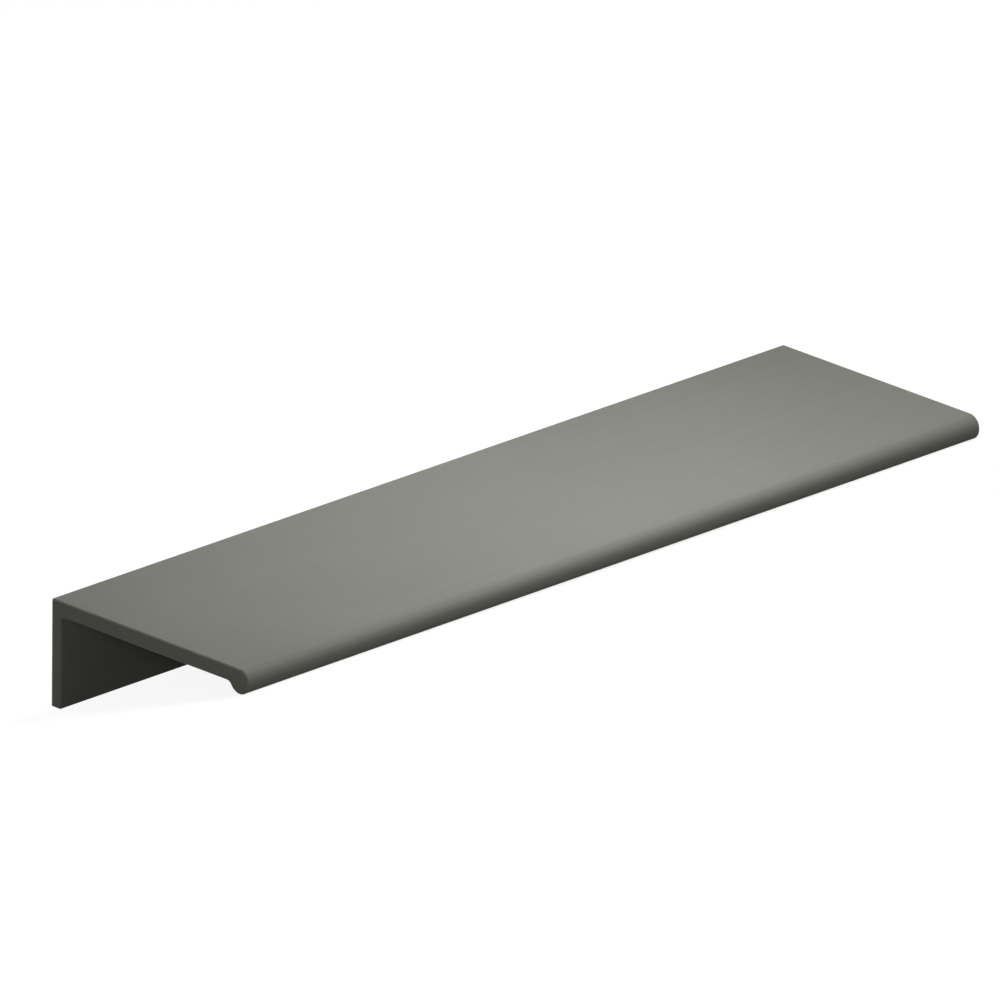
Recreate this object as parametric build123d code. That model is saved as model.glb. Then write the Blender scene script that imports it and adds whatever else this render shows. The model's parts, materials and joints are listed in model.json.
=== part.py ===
from build123d import *
import os
from math import asin, atan2, degrees, hypot, radians, sqrt, tan

# Handleless finger pull: one length of extruded aluminium profile for the top edge of a door or
# drawer front. The leg is screwed to the back of the front, the flange lies on its top edge, and
# fingers reach under the flange in front of it and pull on the round lip.
# Millimetres. The section is drawn as it is fixed, leg hanging straight down at the back, and the
# finished piece is then turned to the way it lies when it is put down with its leg and lip below.

# Profile
length = 125.0              # sawn length of the piece
width = 34.0                # back of the leg to the front of the lip
height = 14.0               # top of the flange to the foot of the leg
flange_thickness = 2.0
leg_thickness = 1.6
lip_height = 3.25           # across the round lip, whose top is level with the flange
neck_radius = 1.0           # hollow that leads from the flange's underside into the lip
inside_radius = 0.5         # root between flange and leg
edge_radius = 0.2           # extruded outer edges of the leg
end_break = 0.15            # bevel that takes the burr off both sawn ends

# Screw holes in the leg, countersunk from behind
screw_drop = 8.0            # top of the flange to the line of the screws
screw_spacing = 64.0        # between the two screws, which stand evenly from both ends
screw_hole = 4.0            # clear diameter for a 3.5 screw
countersink_angle = 90.0
screw_land = 0.2            # straight wall left between the countersink and the leg's front face


def profile_section():
    # Drawn with X forward from the back of the leg and Y up from the top of the flange. One ring
    # of straight runs, the hollow of the neck and the round of the lip, each meeting the next
    # without a kink, then rounded at the root of the leg and at its outer edges.
    with BuildSketch() as sketch:
        with BuildLine():
            leg_back = Line((0, 0), (0, -height))
            foot = Line(leg_back @ 1, (leg_thickness, -height))
            leg_front = Line(foot @ 1, (leg_thickness, -flange_thickness))
            underside = Line(leg_front @ 1, (neck_x, -flange_thickness))
            neck = TangentArc(underside @ 1, neck_end, tangent=underside % 1)
            lip = TangentArc(neck @ 1, (lip_x, 0), tangent=neck % 1)
            Line(lip @ 1, leg_back @ 0)
        make_face()
        fillet(sketch.vertices().sort_by_distance(leg_front @ 1)[0], inside_radius)
        for corner in (leg_back @ 0, foot @ 0, foot @ 1):
            fillet(sketch.vertices().sort_by_distance(corner)[0], edge_radius)
    return sketch.sketch


def screw_cutter():
    # Clear hole with a cone above it that starts at the end of the land and opens to the leg's
    # back face. It stands on the leg's front face, at Z = 0, and points backwards.
    cone_depth = leg_thickness - screw_land
    opening = screw_hole / 2 + cone_depth * tan(radians(countersink_angle / 2))
    over_cut = leg_thickness
    upwards = (Align.CENTER, Align.CENTER, Align.MIN)
    shank = Pos(0, 0, -over_cut) * Cylinder(screw_hole / 2, leg_thickness + over_cut, align=upwards)
    cone = Pos(0, 0, screw_land) * Cone(screw_hole / 2, opening, cone_depth, align=upwards)
    head_room = Pos(0, 0, leg_thickness) * Cylinder(opening, over_cut, align=upwards)
    return shank + cone + head_room


# Lip and neck: the hollow touches the flange's underside and the round lip, so the distance
# between their two centres is the sum of their radii.
lip_radius = lip_height / 2
lip_x = width - lip_radius
neck_drop = flange_thickness + neck_radius
neck_x = lip_x - sqrt((lip_radius + neck_radius) ** 2 - (neck_drop - lip_radius) ** 2)
neck_share = neck_radius / (lip_radius + neck_radius)
neck_end = (neck_x + (lip_x - neck_x) * neck_share, -neck_drop + (neck_drop - lip_radius) * neck_share)

# X along the profile, -Y from the leg forward to the lip, +Z up.
section_plane = Plane(origin=(0, 0, 0), x_dir=(0, -1, 0), z_dir=(-1, 0, 0))
profile = extrude(section_plane * profile_section(), length / 2, both=True)
sawn_ends = profile.faces().filter_by(Plane.YZ)
profile = chamfer(sawn_ends.edges(), end_break)

# The screws stand square to the leg, and their heads sink into its back face.
screw_plane = Plane(origin=(0, -leg_thickness, -screw_drop), x_dir=(1, 0, 0), z_dir=(0, 1, 0))
for screw_x in (-screw_spacing / 2, screw_spacing / 2):
    profile -= screw_plane * Pos(screw_x, 0, 0) * screw_cutter()

# Let go, it tips forward until the foot of the leg and the lip both touch the surface: the line
# that touches both rounds from below is then level.
foot_x = leg_thickness - edge_radius
run = lip_x - foot_x
rise = height - edge_radius - lip_radius
rest_turn = atan2(rise, run) - asin((lip_radius - edge_radius) / hypot(run, rise))
profile = Rot(degrees(rest_turn), 0, 0) * profile

# Origin below the middle of the piece, on the surface it lies on.
box = profile.bounding_box()
profile = Pos(-box.center().X, -box.center().Y, -box.min.Z) * profile
profile.label = "finger_pull_profile"

os.makedirs("parts", exist_ok=True)
export_step(profile, "parts/finger_pull_profile.step")
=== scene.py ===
import json
import math

import bpy
import numpy as np
from mathutils import Matrix, Vector


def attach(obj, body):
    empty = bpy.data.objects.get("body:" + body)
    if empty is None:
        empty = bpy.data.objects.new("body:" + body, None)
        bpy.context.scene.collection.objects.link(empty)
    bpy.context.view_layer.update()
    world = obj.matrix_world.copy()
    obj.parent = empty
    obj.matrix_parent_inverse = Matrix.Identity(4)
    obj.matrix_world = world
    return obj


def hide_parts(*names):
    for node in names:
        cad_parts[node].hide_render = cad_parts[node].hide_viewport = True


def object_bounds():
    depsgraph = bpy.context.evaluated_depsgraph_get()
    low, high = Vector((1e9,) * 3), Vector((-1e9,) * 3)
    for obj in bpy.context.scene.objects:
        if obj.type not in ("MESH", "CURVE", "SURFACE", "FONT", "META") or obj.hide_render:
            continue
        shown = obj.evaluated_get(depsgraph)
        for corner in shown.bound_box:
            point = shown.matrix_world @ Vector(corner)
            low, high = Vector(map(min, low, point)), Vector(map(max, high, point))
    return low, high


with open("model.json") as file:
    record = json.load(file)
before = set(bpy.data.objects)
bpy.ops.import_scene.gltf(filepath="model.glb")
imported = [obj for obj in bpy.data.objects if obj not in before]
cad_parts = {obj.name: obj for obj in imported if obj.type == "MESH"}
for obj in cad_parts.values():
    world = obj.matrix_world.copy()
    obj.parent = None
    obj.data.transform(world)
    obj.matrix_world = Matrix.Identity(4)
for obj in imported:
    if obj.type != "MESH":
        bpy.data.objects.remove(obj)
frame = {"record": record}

cadLow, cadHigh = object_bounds()   # the CAD box, before anything is added
mm = 0.001                      # the profile is drawn in millimetres, Blender works in metres
mounts = {mount["name"]: mount for mount in frame["record"]["mounts"]}
print("frame loaded, box in mm:", [round(v / mm, 2) for v in cadHigh - cadLow])


# The aluminium profile. The section is drawn as it is fixed: x along the piece, then forward
# from the back of the leg, then up from the top of the flange.
profile = {
    "length": (cadHigh.x - cadLow.x) / mm,
    "width": 34.0,
    "height": 14.0,
    "flange": 2.0,
    "leg": 1.6,
    "lip": 3.25,                # across the round lip
    "neck": 1.0,                # hollow between flange and lip
    "root": 0.5,                # inside corner between flange and leg
    "edge": 0.2,                # outer edges of the leg
    "endBreak": 0.15,           # bevel on both sawn ends
    "screwLine": 8.0,           # below the top of the flange
    "screwSpacing": mounts["leg_screw_holes"]["dims"]["pcd_mm"],
    "screwRadius": mounts["leg_screw_holes"]["dims"]["hole_r_mm"],
    "land": 0.2,                # straight wall in front of the countersink, which opens at 45 degrees
    "sag": 0.001,               # how far a round's chords may lie inside it
    "field": 5.0,               # half of the square of the leg that is remade round a screw hole
    "fieldCells": 16,           # cells along each side of that square
    "fieldRings": (0.0, 0.12, 0.35, 1.0),   # places of its rings, from the hole out to the rim
}


def arc(centre, radius, start, stop, hollow=False):
    # points on a circle from one angle to another, with normals that point out of the metal
    step = 2 * math.degrees(math.acos(1 - profile["sag"] / radius))
    count = math.ceil(abs(stop - start) / step) + 1
    turn = np.radians(np.linspace(start, stop, count))
    out = np.stack([np.cos(turn), np.sin(turn)], 1)
    return np.array(centre) + radius * out, -out if hollow else out


def run(start, stop, normal):
    # a straight stretch
    return np.array([start, stop], float), np.tile(np.array(normal, float), (2, 1))


def legRun(forward, heights, normal):
    # a straight stretch down or up the leg, cut at each of these heights
    points = np.stack([np.full(len(heights), forward), heights], 1)
    return points, np.tile(np.array(normal, float), (len(heights), 1))


def drawSection():
    # The closed outline, clockwise from the back of the leg's top corner. Each stretch meets the
    # next without a kink, so every point has one normal.
    p = profile
    edge, root, leg, flange, foot = p["edge"], p["root"], p["leg"], p["flange"], -p["height"]
    lipRadius = p["lip"] / 2
    lipForward = p["width"] - lipRadius
    neckDown = flange + p["neck"]
    neckForward = lipForward - math.sqrt((lipRadius + p["neck"]) ** 2 - (neckDown - lipRadius) ** 2)
    # the angle on the lip at which the neck touches it, and the leg's cuts at the screw holes
    contact = math.degrees(math.atan2(lipRadius - neckDown, neckForward - lipForward))
    cuts = np.linspace(p["field"], -p["field"], p["fieldCells"] + 1) - p["screwLine"]
    stretches = {
        "corner": arc((edge, -edge), edge, 180, 90),
        "top": run((edge, 0), (lipForward, 0), (0, 1)),
        "lip": arc((lipForward, -lipRadius), lipRadius, 90, contact),
        "neck": arc((neckForward, -neckDown), p["neck"], contact + 180, 90, hollow=True),
        "underside": run((neckForward, -flange), (leg + root, -flange), (0, -1)),
        "root": arc((leg + root, -flange - root), root, 90, 180, hollow=True),
        "legFront": legRun(leg, np.concatenate([[-flange - root], cuts, [foot + edge]]), (1, 0)),
        "toeFront": arc((leg - edge, foot + edge), edge, 0, -90),
        "foot": run((leg - edge, foot), (edge, foot), (0, -1)),
        "toeBack": arc((edge, foot + edge), edge, -90, -180),
        "legBack": legRun(0, np.concatenate([[foot + edge], cuts[::-1], [-edge]]), (-1, 0)),
    }
    starts = dict(zip(stretches, np.cumsum([0] + [len(s[0]) - 1 for s in stretches.values()])))
    points = np.concatenate([s[0][:-1] for s in stretches.values()])
    normals = np.concatenate([s[1][:-1] for s in stretches.values()])
    points, normals = np.vstack([points, points[:1]]), np.vstack([normals, normals[:1]])
    around = np.concatenate([[0], np.cumsum(np.linalg.norm(np.diff(points, axis=0), axis=1))])
    return points, normals, around, starts


def gridQuads(points, normals, uv, kept=None):
    # the quads between neighbouring rows and columns of a grid, with a normal and a uv per corner
    cells = np.ones((points.shape[0] - 1, points.shape[1] - 1), bool) if kept is None else kept
    row, column = np.nonzero(cells)
    corner = row[:, None] + np.array([0, 0, 1, 1]), column[:, None] + np.array([0, 1, 1, 0])
    return points[corner], normals[corner], uv[corner]


def extrudedSkin(section, holes):
    # Section carried along x: point = (station, section point), with u along the piece and v the
    # distance round the section. Cells in the squares round the screw holes are left out.
    points, normals, around, starts = section
    end = profile["length"] / 2 - profile["endBreak"]
    across = np.linspace(-profile["field"], profile["field"], profile["fieldCells"] + 1)
    stations = np.concatenate([[-end]] + [hole + across for hole in holes] + [[end]])
    x, index = np.meshgrid(stations, np.arange(len(points)), indexing="ij")
    place = np.dstack([x, points[index]])
    facing = np.dstack([np.zeros_like(x), normals[index]])
    uv = np.dstack([x, around[index]])
    kept = np.ones((len(stations) - 1, len(points) - 1), bool)
    middle = (stations[:-1] + stations[1:]) / 2
    inField = (np.abs(middle[:, None] - np.array(holes)) < profile["field"]).any(1)
    for side in ("legFront", "legBack"):
        first = starts[side] + 1
        kept[inField, first:first + profile["fieldCells"]] = False
    return gridQuads(place, facing, uv, kept)


def onceRound(count):
    # angles of a full turn that starts at 45 degrees, where the square field has its corner
    return math.radians(45) + np.linspace(0, 2 * math.pi, count)


def holeField(section, hole, side):
    # Square field with a round hole: point = circle point blended into the point of the square's
    # rim that has the same place in the round trip, ring by ring.
    points, _, around, starts = section
    cells, half = profile["fieldCells"], profile["field"]
    front = side == "legFront"
    radius = profile["screwRadius"] + (0 if front else profile["leg"] - profile["land"])
    forth = np.linspace(-half, half, cells + 1)[:-1]
    level = np.full(cells, half)
    rim = np.stack([np.concatenate([-forth, -level, forth, level]),
                    np.concatenate([level, -forth, -level, forth])], 1)
    rim = np.vstack([rim, rim[:1]])
    turn = onceRound(len(rim))
    circle = radius * np.stack([np.cos(turn), np.sin(turn)], 1)
    blend = np.array(profile["fieldRings"])[:, None, None]
    flat = (1 - blend) * circle + blend * rim + np.array([hole, -profile["screwLine"]])
    forward = profile["leg"] if front else 0.0
    place = np.dstack([flat[..., 0], np.full(flat.shape[:2], forward), flat[..., 1]])
    facing = np.tile(np.array([0, 1.0 if front else -1.0, 0]), (*flat.shape[:2], 1))
    down = np.abs(flat[..., 1] - points[starts[side], 1])
    uv = np.dstack([flat[..., 0], around[starts[side]] + down])
    return gridQuads(place, facing, uv)


def holeWall(hole, depths, radii):
    # A cylinder or cone between two circles: point = centre + radius * (cos, sin), depth counted
    # from the front of the leg. The normal leans to the axis, and backwards on the cone.
    turn = onceRound(4 * profile["fieldCells"] + 1)
    slope = math.atan2(radii[1] - radii[0], depths[1] - depths[0])
    radius, angle = np.meshgrid(np.array(radii), turn, indexing="ij")
    depth = np.broadcast_to(np.array(depths)[:, None], radius.shape)
    place = np.dstack([hole + radius * np.cos(angle), profile["leg"] - depth,
                       radius * np.sin(angle) - profile["screwLine"]])
    facing = np.dstack([-math.cos(slope) * np.cos(angle), np.full(angle.shape, -math.sin(slope)),
                        -math.cos(slope) * np.sin(angle)])
    uv = np.dstack([angle * profile["screwRadius"], np.hypot(radius, depth)])
    return gridQuads(place, facing, uv)


def endBevel(section, side):
    # From the outline to the same outline drawn in by the bevel, at one sawn end.
    points, normals, around, _ = section
    size = profile["endBreak"]
    inner = points - size * normals
    flat = np.stack([points, inner])
    stations = side * (profile["length"] / 2 - size * np.array([1.0, 0.0]))
    x = np.broadcast_to(stations[:, None], flat.shape[:2])
    place = np.dstack([x, flat])
    facing = np.dstack([np.full(flat.shape[:2], float(side)), np.stack([normals, normals])]) / math.sqrt(2)
    uv = np.dstack([x, np.stack([around, around])])
    return gridQuads(place, facing, uv)


def endFace(section, side):
    # the flat of a sawn end, one face with a corner for each point of the drawn-in outline
    points, normals, _, _ = section
    flat = (points - profile["endBreak"] * normals)[:-1]
    place = np.column_stack([np.full(len(flat), side * profile["length"] / 2), flat])
    facing = np.tile([float(side), 0, 0], (len(flat), 1))
    return place, facing, flat


def layDown(points, isNormal=False):
    # Turns the section to the way the piece lies, lip and leg on the floor. The turn is read from
    # the axis of the screw holes, which stand square to the leg.
    _, forwardY, forwardZ = mounts["leg_screw_holes"]["axis"]
    turned = np.stack([points[..., 0],
                       points[..., 1] * forwardY + points[..., 2] * forwardZ,
                       points[..., 1] * forwardZ - points[..., 2] * forwardY], -1)
    if isNormal:
        return turned
    origin = np.array(mounts["leg_screw_holes"]["pos_m"]) / mm
    onLeg = np.array([0.0, profile["leg"], -profile["screwLine"]])
    return turned - layDown(onLeg, isNormal=True) + origin


skin, ends, drilled = 0, 1, 2       # places of the finishes on the piece


def allQuads(section):
    # the quads of all surfaces laid down, and the finish of each
    holes = (-profile["screwSpacing"] / 2, profile["screwSpacing"] / 2)
    radius, sink = profile["screwRadius"], profile["leg"] - profile["land"]
    quads = [(skin, extrudedSkin(section, holes))]
    for hole in holes:
        quads.append((skin, holeField(section, hole, "legFront")))
        quads.append((skin, holeField(section, hole, "legBack")))
        quads.append((drilled, holeWall(hole, (0, profile["land"]), (radius, radius))))
        quads.append((drilled, holeWall(hole, (profile["land"], profile["leg"]), (radius, radius + sink))))
    for side in (-1, 1):
        quads.append((ends, endBevel(section, side)))
    place, facing, uv = (np.concatenate([part[k] for _, part in quads]) for k in range(3))
    finish = np.concatenate([np.full(len(part[0]), which) for which, part in quads])
    place, facing = layDown(place), layDown(facing, isNormal=True)

    # every quad turns the way its normals point
    across = np.cross(place[:, 2] - place[:, 0], place[:, 3] - place[:, 1])
    wrong = (across * facing.sum(1)).sum(1) < 0
    for corners in (place, facing, uv):
        corners[wrong] = corners[wrong][:, ::-1]
    return place, facing, uv, finish


def buildProfile():
    # One closed mesh of the section carried along x, with its bevels, ends and holes. Every face
    # corner has its own normal and uv.
    section = drawSection()
    place, facing, uv, finish = allQuads(section)

    # the two flats of the sawn ends, each one face, come after the quads
    flats = []
    for side in (-1, 1):
        points, normals, flatUv = (corners[::side] for corners in endFace(section, side))
        flats.append((layDown(points), layDown(normals, isNormal=True), flatUv))
    place, facing, uv = (np.concatenate([quad.reshape(-1, quad.shape[-1])] + [flat[k] for flat in flats])
                         for k, quad in enumerate((place, facing, uv)))
    sizes = np.concatenate([np.full(len(finish), 4), [len(flat[0]) for flat in flats]])
    finish = np.concatenate([finish, [ends, ends]])

    # points that fall together become one, so the skin is closed
    weld = 1e-4     # mm
    _, first, corner = np.unique(np.round(place / weld).astype(np.int64), axis=0,
                                 return_index=True, return_inverse=True)
    faces = np.split(corner.ravel(), np.cumsum(sizes)[:-1])
    mesh = bpy.data.meshes.new("pull_profile")
    mesh.from_pydata((place[first] * mm).tolist(), [], [face.tolist() for face in faces])
    mesh.polygons.foreach_set("use_smooth", np.ones(len(faces), bool))
    mesh.polygons.foreach_set("material_index", finish.astype(np.int32))
    mesh.uv_layers.new(name="section").uv.foreach_set("vector", uv.astype(np.float32).ravel())
    mesh.normals_split_custom_set(facing.tolist())
    piece = bpy.data.objects.new("pull_profile", mesh)
    bpy.context.scene.collection.objects.link(piece)
    return piece


pull = buildProfile()
print("profile built:", len(pull.data.vertices), "points,", len(pull.data.polygons), "faces")


# finishes
def linear(hexColour):
    # sRGB hex to the linear values that Blender works in
    values = [int(hexColour[i:i + 2], 16) / 255 for i in (1, 3, 5)]
    return [v / 12.92 if v <= 0.04045 else ((v + 0.055) / 1.055) ** 2.4 for v in values] + [1.0]


def addNode(tree, kind, values=None, links=None, **settings):
    # adds a node, sets its own settings, then its sockets' values and what feeds them
    node = tree.nodes.new("ShaderNode" + kind)
    for name, value in settings.items():
        setattr(node, name, value)
    for socket, value in (values or {}).items():
        node.inputs[socket].default_value = value
    for socket, source in (links or {}).items():
        tree.links.new(source, node.inputs[socket])
    return node


def newMaterial(name):
    material = bpy.data.materials.new(name)
    material.use_nodes = True
    material.node_tree.nodes.clear()
    return material, material.node_tree


def anodised(tree, look, marks):
    # The anodised layer that all the surfaces share. In the photo it mirrors nothing, not even the
    # white room, so it is shaded as the dull oxide that covers the metal, with no metallic part and
    # next to no gloss. marks runs from 0 to 1 over the lines that a tool left: they shift the tone
    # and the roughness a little and stand up as a shallow relief.
    where = addNode(tree, "TexCoord")
    grain = addNode(tree, "TexNoise", {"Scale": 1 / (look["grain"] * mm), "Detail": 1.0, "Roughness": 0.6},
                    {"Vector": where.outputs["Object"]})
    cloud = addNode(tree, "TexNoise", {"Scale": 1 / (look["cloud"] * mm), "Detail": 2.0},
                    {"Vector": where.outputs["Object"]})
    fine = addNode(tree, "Mix", {"Factor": look["markShare"]}, {"A": grain.outputs["Fac"], "B": marks},
                   data_type="FLOAT")
    tone = addNode(tree, "Mix", {"Factor": look["cloudShare"]},
                   {"A": fine.outputs["Result"], "B": cloud.outputs["Fac"]}, data_type="FLOAT")
    # the noises lie mostly between 0.3 and 0.7, which becomes the whole way from dark to light
    contrast = addNode(tree, "MapRange", {"From Min": 0.3, "From Max": 0.7},
                       {"Value": tone.outputs["Result"]})
    colour = addNode(tree, "Mix", {"A": linear(look["dark"]), "B": linear(look["light"])},
                     {"Factor": contrast.outputs["Result"]}, data_type="RGBA")
    rough = addNode(tree, "MapRange", {"To Min": look["rough"][0], "To Max": look["rough"][1]},
                    {"Value": contrast.outputs["Result"]})
    relief = addNode(tree, "Bump", {"Strength": look["relief"], "Distance": look["reliefDepth"] * mm},
                     {"Height": fine.outputs["Result"]})
    shader = addNode(tree, "BsdfPrincipled", {"Specular IOR Level": look["specular"]},
                     {"Base Color": colour.outputs["Result"], "Roughness": rough.outputs["Result"],
                      "Normal": relief.outputs["Normal"]})
    addNode(tree, "OutputMaterial", None, {"Surface": shader.outputs["BSDF"]})


skinLook = {
    "dark": "#8c8d87", "light": "#9a9b93",
    "rough": (0.56, 0.68), "specular": 0.05,
    "dieLine": (70.0, 0.4),     # length and spacing of the lines that the die draws, in mm
    "grain": 0.13,              # etched grain in mm, drawn about four times as coarse as it is
    "cloud": 20.0,              # slow change of tone, in mm
    "markShare": 0.35, "cloudShare": 0.25,
    "relief": 0.5, "reliefDepth": 0.01,
}


def extrudedFinish():
    # Aluminium extruded, etched matt and anodised grey: an even, soft grey that mirrors nothing,
    # with faint lines along the piece where the die drew them. The uv map counts in millimetres.
    look = skinLook
    material, tree = newMaterial("aluminium_extruded_etched_anodised")
    uv = addNode(tree, "UVMap", uv_map="section")
    drawn = addNode(tree, "Mapping", {"Scale": (1 / look["dieLine"][0], 1 / look["dieLine"][1], 1)},
                    {"Vector": uv.outputs["UV"]})
    lines = addNode(tree, "TexNoise", {"Scale": 1.0, "Detail": 2.0, "Roughness": 0.6},
                    {"Vector": drawn.outputs["Vector"]})
    anodised(tree, look, lines.outputs["Fac"])
    return material


sawnLook = {
    # Its tone is a touch darker and more olive than the skin's. The olive cast is a painted tint of shade:
    # the hue the ends take where they lie in shade.
    "dark": "#898a82", "light": "#999a91",
    "rough": (0.50, 0.62), "specular": 0.07,
    "sawCentre": (0.0, 0.09, -0.12),    # middle of the blade that cut through, in metres
    "toothMark": 0.35,                  # spacing of the marks in mm, drawn about three times as coarse
    "grain": 0.13,
    "cloud": 9.0,
    "markShare": 0.75, "cloudShare": 0.2,
    "relief": 0.4, "reliefDepth": 0.012,
}


def sawnFinish():
    # The ends were sawn before anodising: fine marks of the blade cross them in shallow curves.
    look = sawnLook
    material, tree = newMaterial("aluminium_sawn_anodised")
    where = addNode(tree, "TexCoord")
    onEnd = addNode(tree, "Mapping", {"Scale": (0, 1, 1)}, {"Vector": where.outputs["Object"]})
    reach = addNode(tree, "VectorMath", {1: look["sawCentre"]}, {0: onEnd.outputs["Vector"]},
                    operation="DISTANCE")
    marks = addNode(tree, "TexNoise",
                    {"Scale": 1 / (look["toothMark"] * mm), "Detail": 2.0, "Roughness": 0.7},
                    {"W": reach.outputs["Value"]}, noise_dimensions="1D")
    anodised(tree, look, marks.outputs["Fac"])
    return material


drilledLook = {
    "dark": "#8b8c86", "light": "#9fa099",
    "rough": (0.42, 0.54), "specular": 0.1,
    "toolMark": 0.16,           # spacing of the rings in mm, drawn about three times as coarse
    "grain": 0.13,
    "cloud": 9.0,
    "markShare": 0.85, "cloudShare": 0.1,
    "relief": 0.4, "reliefDepth": 0.01,
}


def drilledFinish():
    # Holes and countersinks were turned before anodising: rings run round them, and they keep a
    # little more gloss than the etched skin.
    look = drilledLook
    material, tree = newMaterial("aluminium_drilled_anodised")
    uv = addNode(tree, "UVMap", uv_map="section")
    parts = addNode(tree, "SeparateXYZ", None, {"Vector": uv.outputs["UV"]})
    rings = addNode(tree, "TexNoise", {"Scale": 1 / look["toolMark"], "Detail": 2.0, "Roughness": 0.7},
                    {"W": parts.outputs["Y"]}, noise_dimensions="1D")
    anodised(tree, look, rings.outputs["Fac"])
    return material


for material in (extrudedFinish(), sawnFinish(), drilledFinish()):
    pull.data.materials.append(material)
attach(pull, "root")
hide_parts("finger_pull_profile")
print("finishes made")


# floor, lamps and background
lamps = {
    # place and target in metres, size across in metres, power in watts
    "overhead": {"place": (0.008, -0.044, 0.102), "target": (0.008, -0.044, 0.0),
                 "size": 0.08, "power": 0.094},
    "front": {"place": (0.0, -0.6, 0.22), "target": (0.0, 0.0, 0.006), "size": 0.15, "power": 0.24},
    "left": {"place": (-0.5, -0.4, 0.12), "target": (0.0, 0.0, 0.006), "size": 0.15, "power": 0.31},
    "right": {"place": (0.55, 0.1, 0.06), "target": (0.0, 0.0, 0.006), "size": 0.08, "power": 0.5},
    "rear": {"place": (0.12, 0.55, 0.08), "target": (0.0, 0.0, 0.006), "size": 0.15, "power": 1.4},
}

studio = {
    "floorSize": 4.0,           # metres
    "floorColour": "#7f7f7c",
    "lampShare": 0.166,         # part of the floor's white that the overhead lamp gives, right below it
    "ambient": 0.106,           # what the surroundings send to the piece
}


def whiteToTheEye(tree):
    # 1 for what the camera sees, directly or in metal and glass, and 0 for what lights the piece
    path = addNode(tree, "LightPath")
    seen = addNode(tree, "Math", None, {0: path.outputs["Is Camera Ray"], 1: path.outputs["Is Glossy Ray"]},
                   operation="MAXIMUM")
    seen = addNode(tree, "Math", None, {0: seen.outputs[0], 1: path.outputs["Is Transmission Ray"]},
                   operation="MAXIMUM")
    return seen.outputs[0]


def floorFinish():
    # Matt white board. With r from the foot of the overhead lamp and h the lamp's height, it sends
    # 1 - what it returns of the ambient light - share / (1 + (r / h)^2)^2 to the eye. Light adds
    # what was left out, so the board is an even white and the piece's shadow stays on it.
    material, tree = newMaterial("board_painted_matt_white")
    colour = linear(studio["floorColour"])
    unlit = 1 - studio["ambient"] * colour[0]
    x, y, height = lamps["overhead"]["place"]
    where = addNode(tree, "TexCoord")
    away = addNode(tree, "VectorMath", {1: (x, y, 0)}, {0: where.outputs["Object"]}, operation="DISTANCE")
    slope = addNode(tree, "Math", {1: height}, {0: away.outputs["Value"]}, operation="DIVIDE")
    spread = addNode(tree, "Math", {2: 1.0}, {0: slope.outputs[0], 1: slope.outputs[0]},
                     operation="MULTIPLY_ADD")
    falloff = addNode(tree, "Math", {1: -2.0}, {0: spread.outputs[0]}, operation="POWER")
    own = addNode(tree, "Math", {1: -studio["lampShare"], 2: unlit}, {0: falloff.outputs[0]},
                  operation="MULTIPLY_ADD")
    seen = addNode(tree, "Math", None, {0: own.outputs[0], 1: whiteToTheEye(tree)}, operation="MULTIPLY")
    glow = addNode(tree, "Emission", {"Color": (1, 1, 1, 1)}, {"Strength": seen.outputs[0]})
    paint = addNode(tree, "BsdfDiffuse", {"Color": colour})
    both = addNode(tree, "AddShader", None, {0: glow.outputs[0], 1: paint.outputs[0]})
    addNode(tree, "OutputMaterial", None, {"Surface": both.outputs[0]})
    return material


def buildFloor():
    # a square on z = 0, so wide that its edges don't show
    half = studio["floorSize"] / 2
    mesh = bpy.data.meshes.new("floor")
    corners = [(-half, -half, 0), (half, -half, 0), (half, half, 0), (-half, half, 0)]
    mesh.from_pydata(corners, [], [(0, 1, 2, 3)])
    mesh.materials.append(floorFinish())
    floor = bpy.data.objects.new("floor", mesh)
    bpy.context.scene.collection.objects.link(floor)


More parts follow.
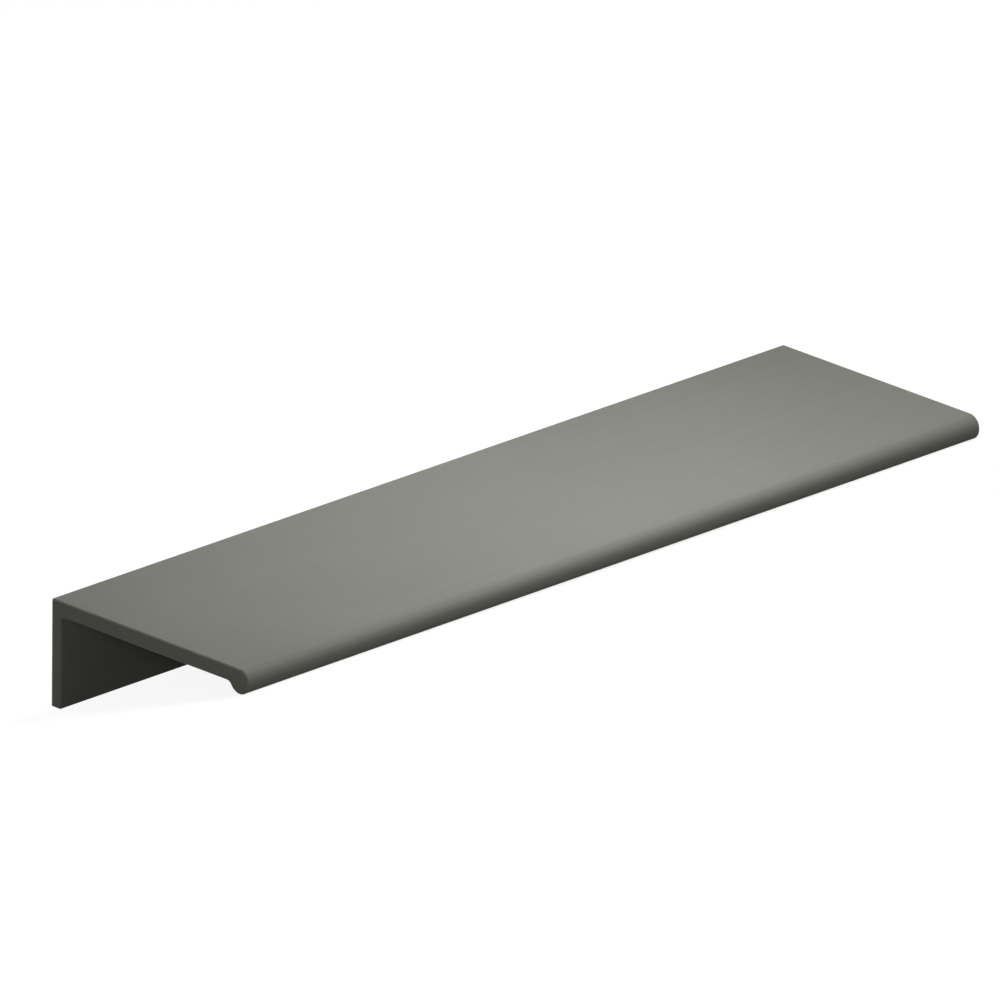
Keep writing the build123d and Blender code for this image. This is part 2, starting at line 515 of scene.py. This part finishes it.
def buildWorld():
    # white to the eye, but only a dim, even light on the piece
    world = bpy.data.worlds.new("studio")
    world.use_nodes = True
    tree = world.node_tree
    tree.nodes.clear()
    dim = addNode(tree, "Background", {"Color": (1, 1, 1, 1), "Strength": studio["ambient"]})
    white = addNode(tree, "Background", {"Color": (1, 1, 1, 1), "Strength": 1.0})
    mixed = addNode(tree, "MixShader", None,
                    {0: whiteToTheEye(tree), 1: dim.outputs[0], 2: white.outputs[0]})
    addNode(tree, "OutputWorld", None, {"Surface": mixed.outputs[0]})
    bpy.context.scene.world = world


def lookAt(place, target, roll=0.0):
    # axes of something at place that looks at target: right, up and back, rolled about its view
    back = (Vector(place) - Vector(target)).normalized()
    right = Vector((0, 0, 1)).cross(back)
    if right.length < 1e-6:     # it looks straight down
        right = Vector((1, 0, 0))
    right.normalize()
    up = back.cross(right)
    c, s = math.cos(roll), math.sin(roll)
    right, up = right * c + up * s, up * c - right * s
    matrix = Matrix((right, up, back)).transposed().to_4x4()
    matrix.translation = Vector(place)
    return matrix


def buildLamps():
    for name, lamp in lamps.items():
        data = bpy.data.lights.new(name, "AREA")
        data.shape = "DISK"
        data.size, data.energy = lamp["size"], lamp["power"]
        light = bpy.data.objects.new(name, data)
        light.matrix_world = lookAt(lamp["place"], lamp["target"])
        bpy.context.scene.collection.objects.link(light)


view = {
    # The picture is a parallel projection, so the camera stands far off with a very long lens.
    "lens": 1500.0, "sensor": 36.0,     # both in mm, as a camera's are
    "distance": 5.061,                  # metres from the point it is aimed at
    "aim": (-0.083 * mm, 0.482 * mm, 9.224 * mm),
    "azimuth": -41.54, "elevation": 7.192, "roll": -12.865,     # degrees
}


def buildCamera():
    azimuth, elevation = math.radians(view["azimuth"]), math.radians(view["elevation"])
    back = Vector((math.sin(azimuth) * math.cos(elevation), -math.cos(azimuth) * math.cos(elevation),
                   math.sin(elevation)))
    aim = Vector(view["aim"])
    data = bpy.data.cameras.new("camera")
    data.lens, data.sensor_width = view["lens"], view["sensor"]
    # nearest and farthest that it sees, well clear of the piece and the floor
    data.clip_start, data.clip_end = view["distance"] / 10, view["distance"] * 4
    camera = bpy.data.objects.new("camera", data)
    camera.matrix_world = lookAt(aim + back * view["distance"], aim, math.radians(view["roll"]))
    bpy.context.scene.collection.objects.link(camera)
    bpy.context.scene.camera = camera


buildFloor()
buildWorld()
buildLamps()
buildCamera()
bpy.context.scene.view_settings.view_transform = "Standard"
print("studio ready")
